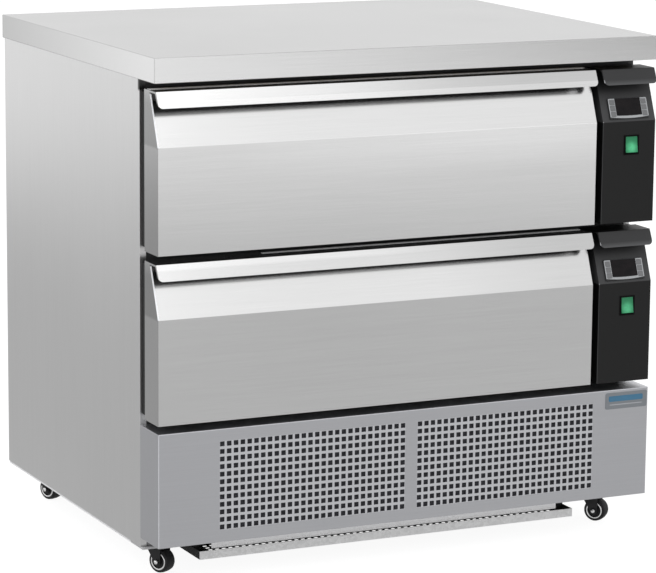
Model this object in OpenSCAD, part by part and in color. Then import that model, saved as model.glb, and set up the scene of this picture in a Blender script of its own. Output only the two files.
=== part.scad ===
// Undercounter drawer refrigerator: a stainless counter on swivel casters with two pull-out
// drawers, a control column on the right and a condensing unit behind a perforated plinth.
// Origin: centre of the footprint on the floor. +X to the right, +Y to the rear, +Z up.

/* [Worktop] */
// Width of the worktop
top_w = 900; // [760:1:1200]
// Depth of the worktop
top_d = 700; // [700:1:900]
// Height of the worktop's folded edge
top_t = 40; // [25:1:60]
// Width of the flange folded inward under the worktop
top_return = 16; // [8:1:30]

/* [Cabinet] */
// Overhang of the worktop past each side panel
side_inset = 3; // [0:0.5:20]
// Overhang of the worktop past the rear panel
rear_inset = 3; // [0:0.5:20]
// Thickness of the stainless sheet
skin = 1.2; // [0.8:0.1:2]
// Width of the stile folded at the front of each side panel
stile_w = 10; // [8:1:22]
// Insulation in the left wall
wall_left = 44; // [30:1:60]
// Insulation in the right wall
wall_right = 40; // [30:1:60]
// Insulation in the rear wall
wall_rear = 50; // [30:1:60]
// Thickness of the chamber liners
liner_t = 1; // [0.6:0.1:2]
// Thickness of the black face frame
face_t = 4; // [2:0.5:8]

/* [Drawer fronts] */
// Height of a drawer front
front_h = 257; // [240:1:330]
// Thickness of a drawer front at its vertical face
front_d = 55; // [46:1:64]
// Height of the vertical face below the fold
fold_h = 170; // [150:1:190]
// How far the sloping face falls back at the top
slope_back = 33; // [20:1:36]
// Projection of the drawer fronts past the worktop's front edge
face_proud = 6; // [0:1:20]
// Height of the folded handle lip
lip_drop = 25; // [18:1:32]
// How far the lip's lower edge stands in front of the vertical face
lip_over = 4; // [4:0.5:10]
// How far the lip's upper edge lies behind the vertical face
lip_back = 8; // [4:1:14]
// Sheet thickness of the lip with its hem
lip_t = 2.4; // [1.6:0.2:4]
// Radius of the lip's lower corners
lip_r = 8; // [3:1:14]
// Gap between the lower drawer and the plinth
gap_low = 13; // [6:1:20]
// Gap between the two drawer fronts
gap_mid = 15; // [6:1:24]
// Gap between the upper drawer and the worktop
gap_top = 13; // [6:1:20]
// Space for the gasket between a drawer front and the cabinet
seal_gap = 21; // [12:1:24]
// Width of the gasket
seal_w = 18; // [12:1:22]
// Distance from a drawer front's edge to its gasket
seal_edge = 4; // [2:1:8]

/* [Chambers and slides] */
// Overlap of a drawer front on the right edge of its chamber
lap_right = 25; // [22:1:40]
// Overlap of a drawer front above and below its chamber
lap_z = 24; // [22:1:34]
// Length of the telescopic slide members
slide_l = 550; // [460:1:570]
// Travel of a drawer
slide_travel = 550; // [300:1:550]
// Height of the outer slide channel
slide_h = 46; // [40:1:60]
// Sheet thickness of the slide members
slide_t = 1.5; // [1:0.1:2]
// Height of the slides above the chamber floor
slide_z = 120; // [60:1:140]
// Length of the pan opening in a drawer
pan_l = 532; // [440:1:545]
// Height of the pan ledge above the chamber floor
ledge_z = 180; // [150:1:190]
// Width of the pan ledge
ledge_w = 15; // [10:1:25]

/* [Control column] */
// Width of the control panels
panel_w = 100; // [90:1:140]
// Gap between a drawer front and its control panel
panel_gap = 12; // [6:1:20]
// Sheet thickness of the control panels
panel_t = 1.5; // [1:0.1:2.5]
// Width of the temperature controller's face
ctl_w = 74; // [72:1:78]
// Height of the temperature controller's face
ctl_h = 35; // [33:1:38]
// Distance from the right edge of the panel to the controller
ctl_edge = 12.5; // [4:0.5:14]
// Distance from the fold up to the controller
ctl_up = 4.5; // [4:0.5:12]
// Width of the rocker switch's frame
sw_w = 28; // [26:1:32]
// Height of the rocker switch's frame
sw_h = 33; // [30:1:36]
// Distance from the right edge of the panel to the switch's centre
sw_edge = 45; // [20:1:60]
// Distance from the fold down to the switch's centre
sw_down = 39.5; // [24:0.5:80]
// Travel of the rocker from on to off, in degrees
sw_swing = 14; // [8:1:16]
// Travel of a controller key
key_travel = 0.5; // [0.2:0.1:0.8]

/* [Plinth and base] */
// Height of the perforated plinth
plinth_h = 186; // [175:1:240]
// Side of a square ventilation hole
hole = 8; // [5:0.5:9]
// Spacing of the hole columns
pitch_x = 11.9; // [11:0.1:14]
// Spacing of the hole rows
pitch_z = 12.4; // [11:0.1:14]
// Columns of holes in each field
hole_cols = 28; // [4:1:28]
// Rows of holes in each field
hole_rows = 12; // [4:1:12]
// Gap between the two fields of holes
field_gap = 23; // [10:1:60]
// Height from the chassis up to the plinth's lower edge
plinth_lift = 19; // [8:1:30]
// Width of the chassis rails
rail = 30; // [20:1:36]
// Height of the chassis rails
rail_h = 20; // [16:1:30]
// Width of the compressor tray
tray_w = 690; // [620:1:690]
// Shift of the tray to the left of the centre
tray_shift = 5; // [0:1:12]
// Height of the tray's front edge
tray_h = 14; // [10:1:20]
// Height of the tray above the floor
tray_z = 25; // [18:1:30]

/* [Casters] */
// Height of a caster from the floor to its plate
caster_h = 50; // [48:1:60]
// Diameter of a caster wheel
wheel_d = 39; // [30:1:40]
// Width of a caster wheel
wheel_w = 22; // [12:1:24]
// Distance of a wheel's axle behind its swivel
trail = 13; // [8:1:18]
// Side of the square caster plate
plate_w = 50; // [46:1:56]
// Distance of the swivels from the sides of the cabinet
caster_x = 42; // [38:1:60]
// Distance of the front swivels from the worktop's front edge
caster_front = 108; // [108:1:150]
// Distance of the rear swivels from the worktop's rear edge
caster_rear = 80; // [50:1:120]

/* [Hidden] */
$fn = 48;

seam = 0.3;   // running gap between pieces that move past each other
weld = 0.01;  // overlap that joins two shapes or lets a cutter pass a face

// Depths, from the drawer fronts to the rear
y_lip = -(top_d + face_proud + lip_over) / 2;
y_face = y_lip + lip_over;
y_top = y_face + face_proud;
y_end = y_top + top_d;
y_door = y_face + front_d;
y_cab = y_door + seal_gap;
y_back = y_end - rear_inset;
y_liner = y_back - skin - wall_rear - liner_t;

// Widths
x_cab = top_w / 2 - side_inset;
x_in = x_cab - skin;
x_panel = x_cab - panel_w;
x_front = x_panel - panel_gap;
x_ch0 = -x_in + wall_left;
x_ch1 = x_front - lap_right;
x_box = x_ch1 + wall_right;
ch_w = x_ch1 - x_ch0;
x_mid = (x_ch0 + x_ch1) / 2;

// Heights
z_base = caster_h;
pad_t = 4;     // thickness of the chassis pads over the casters
z_side = z_base + pad_t;
z_plinth = z_base + plinth_lift;
z_deck = z_plinth + plinth_h;
z_low = z_deck + gap_low;
z_up = z_low + front_h + gap_mid;
z_under = z_up + front_h + gap_top;
z_top = z_under + top_t;
ch_h = front_h - 2 * lap_z;

// Sloping face of the drawer fronts and control panels
lip_gap = 3;
slope_h = front_h - lip_gap - fold_h;
slope_a = atan2(slope_back, slope_h);

module box(x0, x1, y0, y1, z0, z1) {
    translate([x0, y0, z0]) cube([x1 - x0, y1 - y0, z1 - z0]);
}

// A profile drawn in depth and height, carried along X from x0 to x1
module along_x(x0, x1) {
    translate([x0, 0, 0]) rotate([90, 0, 90]) linear_extrude(x1 - x0) children();
}

// Front of a drawer or control panel: local X to the right, local Y up the slope, local Z outward
module on_slope(x, z0, up) {
    translate([x, y_face + up * sin(slope_a), z0 + fold_h + up * cos(slope_a)])
        rotate([90 - slope_a, 0, 0]) children();
}

// ---- Worktop ----

module worktop() {
    color([0.80, 0.80, 0.80]) difference() {
        box(-top_w / 2, top_w / 2, y_top, y_end, z_under, z_top);
        box(-top_w / 2 + skin, top_w / 2 - skin, y_top + skin, y_end - skin, z_under + skin, z_top - skin);
        box(-top_w / 2 + top_return, top_w / 2 - top_return, y_top + top_return, y_end - top_return,
            z_under - 1, z_under + skin + weld);
    }
}

module worktop_core() {
    color([0.55, 0.45, 0.33])
        box(-top_w / 2 + skin, top_w / 2 - skin, y_top + skin, y_end - skin, z_under + skin, z_top - skin);
}

// ---- Outer panels ----

module side_panel() {
    box(-x_cab, -x_in, y_cab, y_back, z_side, z_under);
    box(-x_cab, -x_in + stile_w, y_cab, y_cab + skin, z_side, z_under);
}

module left_side_panel() {
    color([0.76, 0.76, 0.77]) side_panel();
}

module right_side_panel() {
    color([0.76, 0.76, 0.77]) mirror([1, 0, 0]) side_panel();
}

vent_w = 110;
vent_h = 5;
vent_rows = 9;
vent_pitch = 15;
vent_cols = 5;
vent_span = 135;
gland_x = x_in - 90;
gland_z = z_base + 65;
gland_d = 20;

module rear_panel() {
    color([0.70, 0.70, 0.71]) difference() {
        box(-x_in, x_in, y_back - skin, y_back, z_side, z_under);
        for (c = [0 : vent_cols - 1], r = [0 : vent_rows - 1])
            translate([(c - (vent_cols - 1) / 2) * vent_span - 30, y_back - skin - 1, z_plinth + 30 + r * vent_pitch])
                translate([-vent_w / 2, 0, 0]) cube([vent_w, skin + 2, vent_h]);
        translate([gland_x, y_back + 1, gland_z]) rotate([90, 0, 0]) cylinder(d = gland_d + 2 * seam, h = skin + 2);
    }
}

module cable_gland() {
    nut_d = 30;
    nut_t = 6;
    bore_d = 9;
    neck = 14;
    color([0.12, 0.12, 0.12]) translate([gland_x, y_back, gland_z]) rotate([90, 0, 0]) difference() {
        union() {
            translate([0, 0, skin]) cylinder(d = nut_d, h = nut_t, $fn = 6);
            cylinder(d = gland_d, h = skin + nut_t + 4);
            translate([0, 0, -rear_inset]) cylinder(d = nut_d - 4, h = rear_inset);
        }
        translate([0, 0, -rear_inset - 1]) cylinder(d = bore_d, h = neck + rear_inset + 4);
    }
}

// ---- Insulated box ----

pipe_d = 9.5;
pipe_hole = pipe_d + 2 * seam;
riser_x = x_box + 30;
riser_y = y_liner - 18;
coil_z = 150;       // height of the pipe entry above the chamber floor
return_z = 40;      // height of the return pipe above the chamber floor

module chambers(grow) {
    for (z0 = [z_low, z_up])
        box(x_ch0 - grow, x_ch1 + grow, y_cab - 1, y_liner + liner_t + grow, z0 + lap_z - grow,
            z0 + lap_z + ch_h + grow);
}

module pipe_holes() {
    for (z0 = [z_low, z_up], h = [coil_z, return_z])
        translate([x_ch1 - 5, riser_y, z0 + lap_z + h]) rotate([0, 90, 0])
            cylinder(d = pipe_hole, h = wall_right + 10);
}

module insulated_carcass() {
    color([0.90, 0.87, 0.72]) difference() {
        box(-x_in, x_box, y_cab + face_t, y_back - skin, z_deck, z_under);
        chambers(0);
        pipe_holes();
    }
}

module chamber_liners() {
    color([0.85, 0.85, 0.86]) difference() {
        for (z0 = [z_low, z_up])
            box(x_ch0, x_ch1, y_cab + face_t, y_liner + liner_t, z0 + lap_z, z0 + lap_z + ch_h);
        for (z0 = [z_low, z_up])
            box(x_ch0 + liner_t, x_ch1 - liner_t, y_cab, y_liner, z0 + lap_z + liner_t,
                z0 + lap_z + ch_h - liner_t);
        pipe_holes();
    }
}

// Black frame between the stiles, with a window for each chamber and each control panel
module face_frame() {
    stile_in = x_in - stile_w;
    color([0.06, 0.06, 0.06]) difference() {
        box(-stile_in, stile_in, y_cab, y_cab + face_t, z_deck, z_under);
        chambers(0);
        for (z0 = [z_low, z_up])
            box(x_box + 4, stile_in - 6, y_cab - 1, y_cab + face_t + 1, z0 + lap_z, z0 + lap_z + ch_h);
    }
}

// ---- Base ----

pad_l = 90;
pad_w = 76;
deck_t = 3;
y_rail = y_cab + face_t;
y_axle_front = y_top + caster_front;
y_axle_rear = y_end - caster_rear;
x_axle = x_cab - caster_x;
apron_z = z_base - 14;
apron_left = -321;
apron_right = 319;

module base_chassis() {
    y_rear_rail = y_back - skin - rail;
    color([0.62, 0.62, 0.63]) union() {
        for (s = [-1, 1]) {
            mirror([s < 0 ? 1 : 0, 0, 0]) {
                box(x_in - rail, x_in, y_rail, y_back - skin, z_base, z_base + rail_h);
                box(x_in - rail, x_in, y_rail, y_rail + rail, z_base, z_deck);
                box(x_in - rail, x_in, y_rear_rail, y_back - skin, z_base, z_deck);
                for (y = [y_axle_front, y_axle_rear])
                    box(x_in - pad_w, x_in, y - pad_l / 2, y + pad_l / 2, z_base, z_base + pad_t);
            }
        }
        box(-x_in, x_in, y_rail, y_rail + rail, z_base, z_base + rail_h);
        box(-x_in, x_in, y_rear_rail, y_back - skin, z_base, z_base + rail_h);
        box(apron_left, apron_right, y_rail, y_rail + skin, apron_z, z_base + rail_h);
        difference() {
            box(-x_in, x_in, y_rail, y_back - skin, z_deck - deck_t, z_deck);
            box(x_box + 6, x_in - rail - 4, y_rail + rail + 20, y_rear_rail - 4, z_deck - deck_t - 1, z_deck + 1);
        }
    }
}

field_w = (hole_cols - 1) * pitch_x + hole;
field_h = (hole_rows - 1) * pitch_z + hole;

module plinth_panel() {
    return_h = 14;
    field_z = z_plinth + (plinth_h - field_h) / 2;
    color([0.62, 0.63, 0.65]) difference() {
        union() {
            box(-x_cab, x_cab, y_face, y_face + skin, z_plinth, z_deck);
            box(-x_cab, -x_in, y_face, y_cab, z_plinth, z_deck);
            box(x_in, x_cab, y_face, y_cab, z_plinth, z_deck);
            box(-x_cab, x_cab, y_face, y_cab, z_deck - skin, z_deck);
            box(-x_cab, x_cab, y_face, y_face + return_h, z_plinth, z_plinth + skin);
        }
        for (x0 = [-field_gap / 2 - field_w, field_gap / 2])
            translate([x0, y_face + skin + 1, field_z]) rotate([90, 0, 0]) linear_extrude(skin + 2)
                for (c = [0 : hole_cols - 1], r = [0 : hole_rows - 1])
                    translate([c * pitch_x, r * pitch_z]) square(hole);
    }
}

// Washable filter mat behind the holes
module air_filter() {
    filter_t = 5;
    margin = 8;
    half_w = field_gap / 2 + field_w + margin;
    field_z = z_plinth + (plinth_h - field_h) / 2;
    color([0.05, 0.05, 0.05])
        box(-half_w, half_w, y_face + skin, y_face + skin + filter_t, field_z - margin, field_z + field_h + margin);
}

tray_x0 = -tray_w / 2 - tray_shift;
tray_x1 = tray_w / 2 - tray_shift;
tray_y0 = y_cab - 16;
tray_y1 = y_back - skin - 4;
tray_floor = tray_z + skin;

module compressor_tray() {
    tab_w = 14;
    vent_x0 = 35;
    vent_x1 = 5;
    vent_cols_tray = floor((tray_w - vent_x0 - vent_x1) / pitch_x);
    vent_y = tray_y0 + 44;
    vent_lines = 3;
    color([0.72, 0.73, 0.73]) difference() {
        union() {
            box(tray_x0, tray_x1, tray_y0, tray_y1, tray_z, tray_floor);
            box(tray_x0, tray_x1, tray_y0, tray_y0 + skin, tray_z, tray_z + tray_h);
            box(tray_x0, tray_x1, tray_y1 - skin, tray_y1, tray_z, tray_z + tray_h);
            box(tray_x0, tray_x0 + skin, tray_y0, tray_y1, tray_z, tray_z + tray_h);
            box(tray_x1 - skin, tray_x1, tray_y0, tray_y1, tray_z, tray_z + tray_h);
            for (x = [tray_x0, tray_x1 - tab_w], y = [y_rail + 14, y_back - skin - 20])
                box(x, x + tab_w, y, y + 2, tray_z, z_base);
        }
        for (c = [0 : vent_cols_tray - 1], r = [0 : vent_lines - 1])
            translate([tray_x0 + vent_x0 + c * pitch_x, vent_y + r * pitch_x, tray_z - 1])
                cube([hole, hole, skin + 2]);
    }
}

module badge_plate() {
    badge_w = 80;
    badge_h = 28;
    badge_t = 0.8;
    badge_r = 3;
    badge_x = x_cab - 2 - badge_w;
    color([0.55, 0.56, 0.58]) translate([badge_x, y_face, z_deck - 5 - badge_h]) rotate([90, 0, 0])
        linear_extrude(badge_t) {
            translate([badge_r, 0]) square([badge_w - 2 * badge_r, badge_h]);
            translate([0, badge_r]) square([badge_w, badge_h - 2 * badge_r]);
            for (x = [badge_r, badge_w - badge_r], z = [badge_r, badge_h - badge_r])
                translate([x, z]) circle(badge_r);
        }
}

// ---- Drawer fronts and control panels share one profile ----

module front_profile(t) {
    inner_fold = fold_h - t * tan(slope_a / 2);
    top_y = slope_back + t / cos(slope_a) - t * tan(slope_a);
    polygon([[y_face + t, t], [y_face + t, inner_fold], [y_face + top_y, front_h - lip_gap - t],
        [y_door, front_h - lip_gap - t], [y_door, t]]);
}

// Handle lip: a flange over the top of the front that turns down and leans forward
module lip(x0, x1, z0) {
    lip_top = front_h;
    edge_z = front_h - lip_drop;
    intersection() {
        translate([0, 0, z0]) along_x(x0, x1) polygon([[y_door, lip_top], [y_face + lip_back, lip_top],
            [y_face - lip_over, edge_z], [y_face - lip_over + lip_t, edge_z],
            [y_face + lip_back + lip_t, lip_top - lip_gap], [y_door, lip_top - lip_gap]]);
        translate([x0, y_door + 1, z0 + edge_z]) rotate([90, 0, 0]) linear_extrude(front_d + lip_over + 2) {
            translate([0, lip_r]) square([x1 - x0, lip_drop - lip_r + 1]);
            translate([lip_r, 0]) square([x1 - x0 - 2 * lip_r, lip_drop]);
            for (x = [lip_r, x1 - x0 - lip_r]) translate([x, lip_r]) circle(lip_r);
        }
    }
}

module front_shell(x0, x1, z0, t) {
    difference() {
        translate([0, 0, z0]) along_x(x0, x1) front_profile(0);
        translate([0, 0, z0]) along_x(x0 + t, x1 - t) front_profile(t);
        box(x0 + t, x1 - t, y_door - 1, y_door + 1, z0 + t, z0 + front_h - lip_gap - t);
    }
    lip(x0, x1, z0);
}

module drawer_skin(z0) {
    color([0.78, 0.78, 0.79]) front_shell(-x_cab, x_front, z0, skin);
}

module drawer_core(z0) {
    color([0.88, 0.85, 0.70]) translate([0, 0, z0]) along_x(-x_cab + skin, x_front - skin) front_profile(skin);
}

module drawer_gasket(z0) {
    color([0.05, 0.05, 0.05]) difference() {
        box(-x_cab + seal_edge, x_front - seal_edge, y_door, y_cab - seam, z0 + seal_edge,
            z0 + front_h - lip_gap - seal_edge);
        box(-x_cab + seal_edge + seal_w, x_front - seal_edge - seal_w, y_door - 1, y_cab, z0 + seal_edge + seal_w,
            z0 + front_h - lip_gap - seal_edge - seal_w);
    }
}

// ---- Slides and pan frames ----

slide_w = 12.7;                       // width of a three-part slide
glide = (slide_h - 2 * slide_t) / 2;  // half height inside the outer channel
mid_half = glide - 2.5;               // half height of the middle member
in_half = mid_half - slide_t - 2.5;   // half height of the inner member
y_slide = y_cab + face_t + 2;
y_inner = y_door + 10;

// Places a left-hand slide shape, drawn from the wall inward, on both walls of a chamber
module both_walls() {
    translate([x_ch0 + liner_t, 0, 0]) children();
    translate([x_ch1 - liner_t, 0, 0]) mirror([1, 0, 0]) children();
}

module channel(x0, x1, half_h, y0, l, z, base_at_x0) {
    box(base_at_x0 ? x0 : x1 - slide_t, base_at_x0 ? x0 + slide_t : x1, y0, y0 + l, z - half_h, z + half_h);
    for (s = [-1, 1])
        translate([x0, y0, z + (s < 0 ? -half_h : half_h - slide_t)]) cube([x1 - x0, l, slide_t]);
}

module slide_channels() {
    color([0.66, 0.67, 0.68]) for (z0 = [z_low, z_up])
        both_walls() channel(0, 10, slide_h / 2, y_slide, slide_l, z0 + lap_z + slide_z, true);
}

module slide_middle(z0) {
    z = z0 + lap_z + slide_z;
    out_strips = [slide_l / 2, slide_l - 62];
    in_strips = [12, slide_l / 2 - 75];
    color([0.58, 0.59, 0.60]) both_walls() {
        channel(slide_t + 0.5, 10.5, mid_half, y_slide, slide_l, z, true);
        for (y = out_strips, s = [-1, 1])
            translate([4, y_slide + y, z + (s < 0 ? -glide + seam : mid_half)]) cube([5, 60, glide - mid_half - seam]);
        for (y = in_strips, s = [-1, 1])
            translate([6, y_slide + y, z + (s < 0 ? -mid_half + slide_t : in_half + seam)])
                cube([4, 60, mid_half - slide_t - in_half - seam]);
    }
}

module pan_frame(z0) {
    floor_z = z0 + lap_z;
    plate = 2;
    y1 = y_door + plate + pan_l + plate;
    fx0 = x_ch0 + liner_t + slide_w;
    fx1 = x_ch1 - liner_t - slide_w;
    side_low = floor_z + slide_z - 25;
    side_top = floor_z + ledge_z + 10;
    bar = 20;
    color([0.74, 0.74, 0.75]) union() {
        box(fx0, fx0 + plate, y_door, y1, side_low, side_top);
        box(fx1 - plate, fx1, y_door, y1, side_low, side_top);
        box(fx0, fx1, y_door, y_door + plate, floor_z + 20, side_top);
        box(fx0, fx1, y1 - plate, y1, side_low, side_top);
        box(fx0, fx0 + plate + ledge_w, y_door, y1, floor_z + ledge_z - plate, floor_z + ledge_z);
        box(fx1 - plate - ledge_w, fx1, y_door, y1, floor_z + ledge_z - plate, floor_z + ledge_z);
        box(fx0, fx1, y_door, y_door + plate + ledge_w, floor_z + ledge_z - plate, floor_z + ledge_z);
        box(fx0, fx1, y1 - plate - ledge_w, y1, floor_z + ledge_z - plate, floor_z + ledge_z);
        box(x_mid - bar / 2, x_mid + bar / 2, y_door, y1, floor_z + ledge_z - 12, floor_z + ledge_z);
        both_walls() channel(5, slide_w, in_half, y_inner, slide_l, floor_z + slide_z, false);
    }
}

// ---- Control column ----

ctl_x = x_cab - ctl_edge - ctl_w / 2;
ctl_y = ctl_up + ctl_h / 2;
sw_x = x_cab - sw_edge;
ctl_body_w = ctl_w - 3;
ctl_body_h = ctl_h - 3;
sw_body_w = sw_w - 2.6;
sw_body_h = sw_h - 2;

module at_controller(z0) {
    on_slope(ctl_x, z0, ctl_y) children();
}

module at_switch(z0) {
    translate([sw_x, y_face, z0 + fold_h - sw_down]) rotate([90, 0, 0]) children();
}

module control_panels() {
    color([0.14, 0.14, 0.15]) for (z0 = [z_low, z_up]) difference() {
        union() {
            front_shell(x_panel, x_cab, z0, panel_t);
            box(x_panel, x_panel + panel_t, y_door - weld, y_cab, z0, z0 + front_h - lip_gap);
            box(x_cab - panel_t, x_cab, y_door - weld, y_cab, z0, z0 + front_h - lip_gap);
            box(x_panel, x_cab, y_door - weld, y_cab, z0 + front_h - lip_gap - panel_t, z0 + front_h - lip_gap);
        }
        at_controller(z0) translate([0, 0, -4]) linear_extrude(8)
            square([ctl_body_w + 2 * seam, ctl_body_h + 2 * seam], center = true);
        at_switch(z0) translate([0, 0, -4]) linear_extrude(8)
            square([sw_body_w + 2 * seam, sw_body_h + 2 * seam], center = true);
    }
}

module control_box() {
    color([0.70, 0.70, 0.70]) {
        box(x_box, x_box + 70, y_cab + 110, y_cab + 330, z_up + lap_z, z_up + lap_z + 170);
        box(x_box, x_box + 72, y_cab + 108, y_cab + 112, z_up + lap_z - 2, z_up + lap_z + 172);
    }
}

key_w = 9;
key_h = 8.4;
key_t = 3.2;
key_pitch = 10;
key_in = 7;            // from the controller's side edge to the middle of a key
bezel_t = 3;
lens_w = ctl_w - 26;
lens_h = ctl_h - 7;
lens_t = 1.2;

function key_at(i) = [(i < 3 ? -1 : 1) * (ctl_w / 2 - key_in), ctl_h / 2 - 7 - (i % 3) * key_pitch];

module controller_housings() {
    back = 46;
    pocket = key_t + key_travel + 0.2;
    color([0.10, 0.10, 0.11]) for (z0 = [z_low, z_up]) at_controller(z0) difference() {
        union() {
            linear_extrude(bezel_t) square([ctl_w, ctl_h], center = true);
            translate([0, 0, -back]) linear_extrude(back + weld)
                square([ctl_body_w, ctl_body_h], center = true);
        }
        for (i = [0 : 5])
            translate([key_at(i)[0], key_at(i)[1], bezel_t - pocket + 0.8])
                linear_extrude(pocket + 1) square([key_w + 2 * seam, key_h + 2 * seam], center = true);
        translate([0, 2.5, bezel_t - lens_t]) linear_extrude(lens_t + 1) square([lens_w, lens_h], center = true);
    }
}

module display_lenses() {
    color([0.05, 0.04, 0.05]) for (z0 = [z_low, z_up]) at_controller(z0)
        translate([0, 2.5, bezel_t - lens_t]) linear_extrude(lens_t)
            square([lens_w - 0.2, lens_h - 0.2], center = true);
}

module key(z0, i) {
    color([0.66, 0.66, 0.67]) at_controller(z0)
        translate([key_at(i)[0], key_at(i)[1], bezel_t + 0.8 - key_t]) linear_extrude(key_t)
            square([key_w, key_h], center = true);
}

sw_frame_t = 1.4;
rocker_w = sw_w - 5.6;
rocker_half = sw_h / 2 - 3.2;
pivot_in = 4;          // depth of the rocker's pivot behind the panel
rocker_out = 2.3;      // how far the pressed-out end stands in front of the panel

module switch_frames() {
    depth = 24;
    color([0.05, 0.05, 0.05]) for (z0 = [z_low, z_up]) at_switch(z0) difference() {
        union() {
            linear_extrude(sw_frame_t) square([sw_w, sw_h], center = true);
            translate([0, 0, -depth]) linear_extrude(depth + weld) square([sw_body_w, sw_body_h], center = true);
        }
        translate([0, 0, -depth + 4]) linear_extrude(depth + 4)
            square([rocker_w + 2 * seam, sw_h - 4.2], center = true);
        translate([-rocker_w / 2 - 1.6 + 0.5, 0, -pivot_in]) rotate([0, 90, 0])
            cylinder(d = 3.1, h = rocker_w + 2.2);
    }
}

// Rocker pressed in at the top; its trunnions turn in the frame
module rocker(z0) {
    tilt = sw_swing / 2;
    color([0.15, 0.62, 0.34]) at_switch(z0) translate([0, 0, -pivot_in]) {
        rotate([-tilt, 0, 0]) rotate([90, 0, 90]) translate([0, 0, -rocker_w / 2]) linear_extrude(rocker_w)
            polygon([[-rocker_half, pivot_in + rocker_out - 0.9], [0, pivot_in + 0.9],
                [rocker_half, pivot_in + rocker_out - 0.9], [rocker_half - 3, -5], [-rocker_half + 3, -5]]);
        translate([-rocker_w / 2 - 1, 0, 0]) rotate([0, 90, 0]) cylinder(d = 3, h = rocker_w + 2);
    }
}

// ---- Condensing unit ----

comp_x = 190;
comp_y = y_cab + 250;
comp_r = 76;
comp_h = 168;
foot_h = 12;
stub_l = 8;
suction_z = tray_floor + foot_h + 64;

module compressor() {
    dome = 34;
    shell_z = tray_floor + foot_h + 4;
    wall_h = comp_h - 2 * dome;
    foot_x = 78;
    foot_y = 58;
    color([0.10, 0.10, 0.10]) translate([comp_x, comp_y, 0]) {
        translate([0, 0, shell_z + dome]) cylinder(r = comp_r, h = wall_h);
        for (z = [shell_z + dome, shell_z + dome + wall_h])
            translate([0, 0, z]) intersection() {
                cylinder(r = comp_r, h = 2 * dome, center = true);
                translate([0, 0, z > shell_z + dome ? -60 : 60]) sphere(r = 96.8, $fn = 96);
            }
        translate([0, 0, shell_z + dome + wall_h / 2]) cylinder(r = comp_r + 3, h = 6, center = true);
        translate([comp_r - 6, -26, shell_z + 50]) cube([30, 52, 60]);
        translate([-90, -70, shell_z]) cube([180, 140, 4]);
        translate([0, comp_r - 4, suction_z]) rotate([-90, 0, 0]) cylinder(d = pipe_d + 3, h = stub_l + 4);
        translate([-comp_r - stub_l, 0, suction_z]) rotate([0, 90, 0]) cylinder(d = pipe_d + 3, h = stub_l + 4);
        for (x = [-foot_x, foot_x], y = [-foot_y, foot_y]) {
            translate([x, y, tray_floor]) cylinder(d = 24, h = foot_h + 4 + weld);
            translate([x, y, shell_z + 4 - weld]) cylinder(d = 13, h = 5, $fn = 6);
        }
    }
}

cond_x0 = -320;
cond_w = 260;
cond_h = 180;
cond_y = y_cab + 92;
cond_t = 44;
cond_fan_x = cond_x0 + cond_w / 2;
cond_fan_z = tray_floor + cond_h / 2;
cond_fan_d = 160;
shroud_l = 40;

// Block of fins standing across X, with end plates
module fin_block(w, t, h, fin_gap, fin_t) {
    count = floor((w - 8) / fin_gap);
    linear_extrude(h) difference() {
        square([w, t]);
        for (i = [0 : count - 1])
            translate([5 + i * fin_gap, 2.5]) square([fin_gap - fin_t, t - 5]);
    }
}

module condenser() {
    color([0.25, 0.25, 0.26]) difference() {
        translate([cond_x0, cond_y, tray_floor]) fin_block(cond_w, cond_t, cond_h, 10, 1.5);
        for (x = [0 : floor((cond_w - 8) / 10) - 1])
            translate([cond_x0 + 5 + x * 10, cond_y - 1, tray_floor + 6]) cube([8.5, cond_t + 2, cond_h - 12]);
    }
    color([0.20, 0.20, 0.21]) translate([cond_x0, cond_y + cond_t, tray_floor]) difference() {
        cube([cond_w, shroud_l, cond_h]);
        translate([2, -1, 2]) cube([cond_w - 4, 19, cond_h - 4]);
        translate([cond_w / 2, -1, cond_h / 2]) rotate([-90, 0, 0]) cylinder(d = cond_fan_d + 8, h = shroud_l + 2);
    }
    // Motor on a cross bracket behind the shroud
    color([0.30, 0.30, 0.31]) translate([cond_fan_x, cond_y + cond_t + shroud_l, cond_fan_z]) rotate([-90, 0, 0]) {
        difference() {
            union() {
                translate([0, 0, 4]) cylinder(d = 60, h = 40);
                for (a = [45, 135]) rotate([0, 0, a]) translate([-96, -5, 0]) cube([192, 10, 4.5]);
                cylinder(d = 24, h = 5);
            }
            translate([0, 0, -1]) cylinder(d = 6.1, h = 24);
        }
    }
}

module fan_blades(d, hub_d, hub_l, blades, chord, shaft_d, shaft_l) {
    cylinder(d = hub_d, h = hub_l);
    translate([0, 0, hub_l - weld]) cylinder(d = shaft_d, h = shaft_l + weld);
    for (i = [0 : blades - 1]) rotate([0, 0, i * 360 / blades])
        translate([hub_d / 2 - 2, 0, hub_l / 2]) rotate([28, 0, 0])
            translate([0, -chord / 2, -0.8]) cube([(d - hub_d) / 2, chord, 1.6]);
}

module condenser_fan() {
    color([0.75, 0.75, 0.76]) translate([cond_fan_x, cond_y + cond_t + 22, cond_fan_z]) rotate([-90, 0, 0])
        fan_blades(cond_fan_d, 40, 16, 5, 34, 6, 20);
}

// ---- Evaporators ----

evap_x0 = x_ch1 - 430;
evap_w = 400;
evap_h = 170;
evap_t = 28;
evap_y = y_liner - evap_t - 4;
evap_up = 16;
fan_box = 120;
fan_t = 25;
efan_x = evap_x0 - 80;
efan_y = y_liner - fan_t - 4;

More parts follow.
